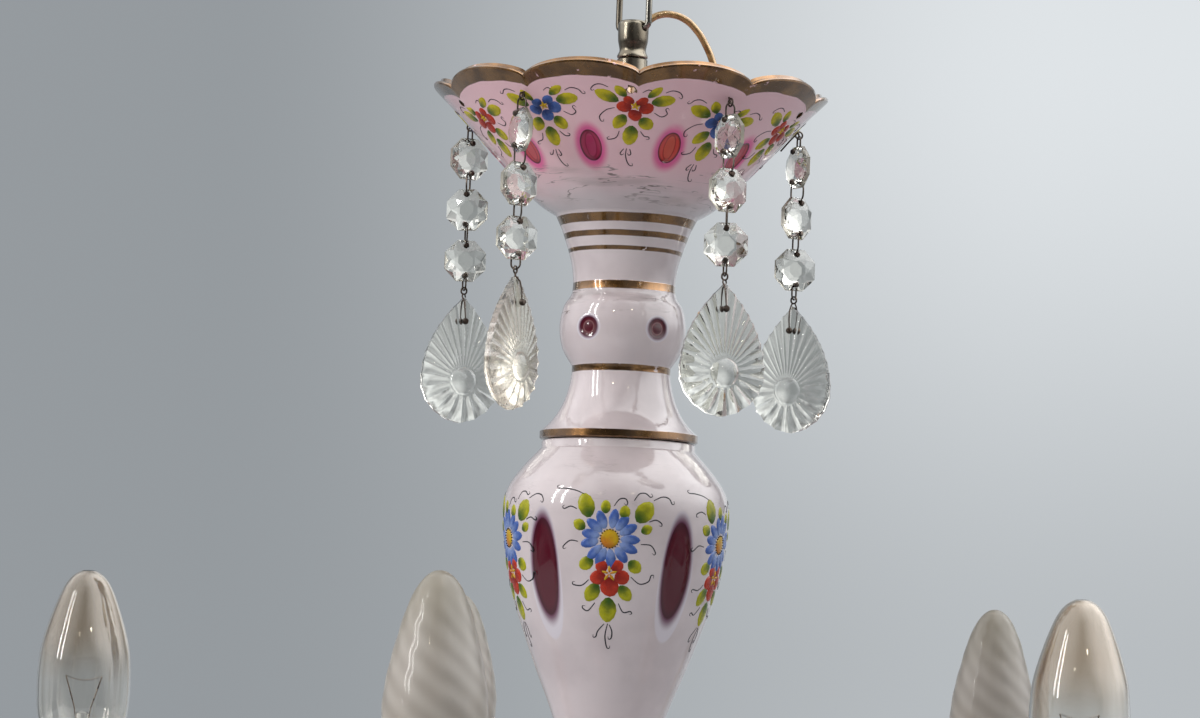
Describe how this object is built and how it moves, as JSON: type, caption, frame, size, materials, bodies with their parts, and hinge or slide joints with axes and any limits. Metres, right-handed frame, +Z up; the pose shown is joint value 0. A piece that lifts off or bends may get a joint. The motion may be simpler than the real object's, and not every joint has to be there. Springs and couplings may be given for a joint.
{
  "type": "chandelier",
  "caption": "Hanging chandelier with a stacked glass vase stem, a scalloped top bowl with bead and drop strands, curved arms with drip pans, and candle bulbs.",
  "frame": {"origin": "centre of the hook plate's top face, where it meets the ceiling, on the stem's axis", "axes": "+Z up out of the ceiling face, +X to the right and -Y towards the viewer in the picture"},
  "size_m": [0.4471, 0.4639, 0.6338],
  "materials": {
    "overlay_glass": "blown glass, white over ruby, cut through in windows, with gilt bands and painted flowers",
    "cut_glass": "clear, cut and polished",
    "clear_bulb": "clear thin glass, smoky at the tip",
    "frosted_bulb": "frosted glass with a swirl",
    "aged_nickel": "aged nickel plate, grey-brown",
    "ivory_sleeve": "matt ivory tube",
    "lampholder_plastic": "moulded, off-white",
    "terminal_ceramic": "glazed, off-white",
    "gold_flex": "translucent gold-brown sheath"
  },
  "bodies": {
    "ceiling": {"ceiling_hook": "aged_nickel"},
    "canopy": {"ceiling_canopy": "aged_nickel"},
    "link": {"chain_link": "aged_nickel"},
    "bail": {"bail": "aged_nickel"},
    "chandelier": {"loop_knob": "aged_nickel", "lock_nut": "aged_nickel", "central_rod": "aged_nickel", "seating_washer": "aged_nickel", "upper_vase": "overlay_glass", "baluster_vase": "overlay_glass", "arm_hub": "aged_nickel", "lower_bowl": "overlay_glass", "finial": "cut_glass", "supply_lead": "gold_flex", "terminal_block": "terminal_ceramic", "arm_1": "aged_nickel", "bobeche_1": "overlay_glass", "lampholder_1": "lampholder_plastic", "candle_sleeve_1": "ivory_sleeve", "arm_2": "aged_nickel", "bobeche_2": "overlay_glass", "lampholder_2": "lampholder_plastic", "candle_sleeve_2": "ivory_sleeve", "arm_3": "aged_nickel", "bobeche_3": "overlay_glass", "lampholder_3": "lampholder_plastic", "candle_sleeve_3": "ivory_sleeve", "arm_4": "aged_nickel", "bobeche_4": "overlay_glass", "lampholder_4": "lampholder_plastic", "candle_sleeve_4": "ivory_sleeve", "arm_5": "aged_nickel", "bobeche_5": "overlay_glass", "lampholder_5": "lampholder_plastic", "candle_sleeve_5": "ivory_sleeve"},
    "strand_1_bead_1": {"strand_1_bead_1": "cut_glass"},
    "strand_1_bead_2": {"strand_1_bead_2": "cut_glass"},
    "strand_1_bead_3": {"strand_1_bead_3": "cut_glass"},
    "strand_1_drop": {"strand_1_drop": "cut_glass"},
    "strand_2_bead_1": {"strand_2_bead_1": "cut_glass"},
    "strand_2_bead_2": {"strand_2_bead_2": "cut_glass"},
    "strand_2_bead_3": {"strand_2_bead_3": "cut_glass"},
    "strand_2_drop": {"strand_2_drop": "cut_glass"},
    "strand_3_bead_1": {"strand_3_bead_1": "cut_glass"},
    "strand_3_bead_2": {"strand_3_bead_2": "cut_glass"},
    "strand_3_bead_3": {"strand_3_bead_3": "cut_glass"},
    "strand_3_drop": {"strand_3_drop": "cut_glass"},
    "strand_4_bead_1": {"strand_4_bead_1": "cut_glass"},
    "strand_4_bead_2": {"strand_4_bead_2": "cut_glass"},
    "strand_4_bead_3": {"strand_4_bead_3": "cut_glass"},
    "strand_4_drop": {"strand_4_drop": "cut_glass"},
    "strand_5_bead_1": {"strand_5_bead_1": "cut_glass"},
    "strand_5_bead_2": {"strand_5_bead_2": "cut_glass"},
    "strand_5_bead_3": {"strand_5_bead_3": "cut_glass"},
    "strand_5_drop": {"strand_5_drop": "cut_glass"},
    "bulb_1": {"bulb_1": "frosted_bulb"},
    "bulb_2": {"bulb_2": "clear_bulb"},
    "bulb_3": {"bulb_3": "frosted_bulb"},
    "bulb_4": {"bulb_4": "frosted_bulb"},
    "bulb_5": {"bulb_5": "clear_bulb"}
  },
  "joints": [
    {"name": "canopy_slide", "type": "slide", "parent": "ceiling", "child": "canopy", "axis": [0, 0, 1], "range_m": [-0.04, 0]},
    {"name": "link_swing", "type": "hinge", "parent": "ceiling", "child": "link", "pos_m": [0, 0, -0.118], "axis": [0.7431, -0.6691, 0], "range_deg": [-25, 25]},
    {"name": "bail_swing", "type": "hinge", "parent": "link", "child": "bail", "pos_m": [0, 0, -0.1407], "axis": [0.6691, 0.7431, 0], "range_deg": [-25, 25]},
    {"name": "knob_swing", "type": "hinge", "parent": "bail", "child": "chandelier", "pos_m": [0, 0, -0.18565], "axis": [0.7431, -0.6691, 0], "range_deg": [-20, 20]},
    {"name": "strand_1_bead_1_swing", "type": "hinge", "parent": "chandelier", "child": "strand_1_bead_1", "pos_m": [-0.06219, 0.02769, -0.22238], "axis": [0.4067, 0.9135, 0], "range_deg": [-5, 45]},
    {"name": "strand_1_bead_2_swing", "type": "hinge", "parent": "strand_1_bead_1", "child": "strand_1_bead_2", "pos_m": [-0.06219, 0.02769, -0.24826], "axis": [0.1736, 0.9848, 0], "range_deg": [-4, 25]},
    {"name": "strand_1_bead_3_swing", "type": "hinge", "parent": "strand_1_bead_2", "child": "strand_1_bead_3", "pos_m": [-0.06219, 0.02769, -0.26826], "axis": [-0.1736, 0.9848, 0], "range_deg": [-4, 25]},
    {"name": "strand_1_drop_swing", "type": "hinge", "parent": "strand_1_bead_3", "child": "strand_1_drop", "pos_m": [-0.06219, 0.02769, -0.28608], "axis": [-0.342, 0.9397, 0], "range_deg": [-4, 25]},
    {"name": "strand_2_bead_1_swing", "type": "hinge", "parent": "chandelier", "child": "strand_2_bead_1", "pos_m": [-0.04002, -0.05508, -0.22238], "axis": [-0.809, 0.5878, 0], "range_deg": [-5, 45]},
    {"name": "strand_2_bead_2_swing", "type": "hinge", "parent": "strand_2_bead_1", "child": "strand_2_bead_2", "pos_m": [-0.04002, -0.05508, -0.24826], "axis": [-0.6561, 0.7547, 0], "range_deg": [-4, 25]},
    {"name": "strand_2_bead_3_swing", "type": "hinge", "parent": "strand_2_bead_2", "child": "strand_2_bead_3", "pos_m": [-0.04002, -0.05508, -0.26826], "axis": [-0.4695, 0.8829, 0], "range_deg": [-4, 25]},
    {"name": "strand_2_drop_swing", "type": "hinge", "parent": "strand_2_bead_3", "child": "strand_2_drop", "pos_m": [-0.04002, -0.05508, -0.28608], "axis": [-0.848, 0.5299, 0], "range_deg": [-4, 25]},
    {"name": "strand_3_bead_1_swing", "type": "hinge", "parent": "chandelier", "child": "strand_3_bead_1", "pos_m": [0.03658, -0.05742, -0.22238], "axis": [-0.8434, -0.5373, 0], "range_deg": [-5, 45]},
    {"name": "strand_3_bead_2_swing", "type": "hinge", "parent": "strand_3_bead_1", "child": "strand_3_bead_2", "pos_m": [0.03658, -0.05742, -0.24826], "axis": [-0.5807, 0.8141, 0], "range_deg": [-4, 25]},
    {"name": "strand_3_bead_3_swing", "type": "hinge", "parent": "strand_3_bead_2", "child": "strand_3_bead_3", "pos_m": [0.03658, -0.05742, -0.26826], "axis": [0.0087, -1, 0], "range_deg": [-4, 25]},
    {"name": "strand_3_drop_swing", "type": "hinge", "parent": "strand_3_bead_3", "child": "strand_3_drop", "pos_m": [0.03658, -0.05742, -0.28608], "axis": [0.2504, -0.9681, 0], "range_deg": [-4, 25]},
    {"name": "strand_4_bead_1_swing", "type": "hinge", "parent": "chandelier", "child": "strand_4_bead_1", "pos_m": [0.0656, 0.01819, -0.22238], "axis": [0.2672, -0.9636, 0], "range_deg": [-5, 45]},
    {"name": "strand_4_bead_2_swing", "type": "hinge", "parent": "strand_4_bead_1", "child": "strand_4_bead_2", "pos_m": [0.0656, 0.01819, -0.24826], "axis": [0.7254, -0.6884, 0], "range_deg": [-4, 25]},
    {"name": "strand_4_bead_3_swing", "type": "hinge", "parent": "strand_4_bead_2", "child": "strand_4_bead_3", "pos_m": [0.0656, 0.01819, -0.26826], "axis": [0.3007, -0.9537, 0], "range_deg": [-4, 25]},
    {"name": "strand_4_drop_swing", "type": "hinge", "parent": "strand_4_bead_3", "child": "strand_4_drop", "pos_m": [0.0656, 0.01819, -0.28608], "axis": [-0.4305, -0.9026, 0], "range_deg": [-4, 25]},
    {"name": "strand_5_bead_1_swing", "type": "hinge", "parent": "chandelier", "child": "strand_5_bead_1", "pos_m": [0.00356, 0.06799, -0.22238], "axis": [0.9986, -0.0523, 0], "range_deg": [-5, 45]},
    {"name": "strand_5_bead_2_swing", "type": "hinge", "parent": "strand_5_bead_1", "child": "strand_5_bead_2", "pos_m": [0.00356, 0.06799, -0.24826], "axis": [0.3907, 0.9205, 0], "range_deg": [-4, 25]},
    {"name": "strand_5_bead_3_swing", "type": "hinge", "parent": "strand_5_bead_2", "child": "strand_5_bead_3", "pos_m": [0.00356, 0.06799, -0.26826], "axis": [0.2079, -0.9781, 0], "range_deg": [-4, 25]},
    {"name": "strand_5_drop_swing", "type": "hinge", "parent": "strand_5_bead_3", "child": "strand_5_drop", "pos_m": [0.00356, 0.06799, -0.28608], "axis": [0.0523, 0.9986, 0], "range_deg": [-4, 25]},
    {"name": "bulb_1_out", "type": "slide", "parent": "chandelier", "child": "bulb_1", "axis": [0, 0, 1], "range_m": [0, 0.045]},
    {"name": "bulb_2_out", "type": "slide", "parent": "chandelier", "child": "bulb_2", "axis": [0, 0, 1], "range_m": [0, 0.045]},
    {"name": "bulb_3_out", "type": "slide", "parent": "chandelier", "child": "bulb_3", "axis": [0, 0, 1], "range_m": [0, 0.045]},
    {"name": "bulb_4_out", "type": "slide", "parent": "chandelier", "child": "bulb_4", "axis": [0, 0, 1], "range_m": [0, 0.045]},
    {"name": "bulb_5_out", "type": "slide", "parent": "chandelier", "child": "bulb_5", "axis": [0, 0, 1], "range_m": [0, 0.045]}
  ]
}
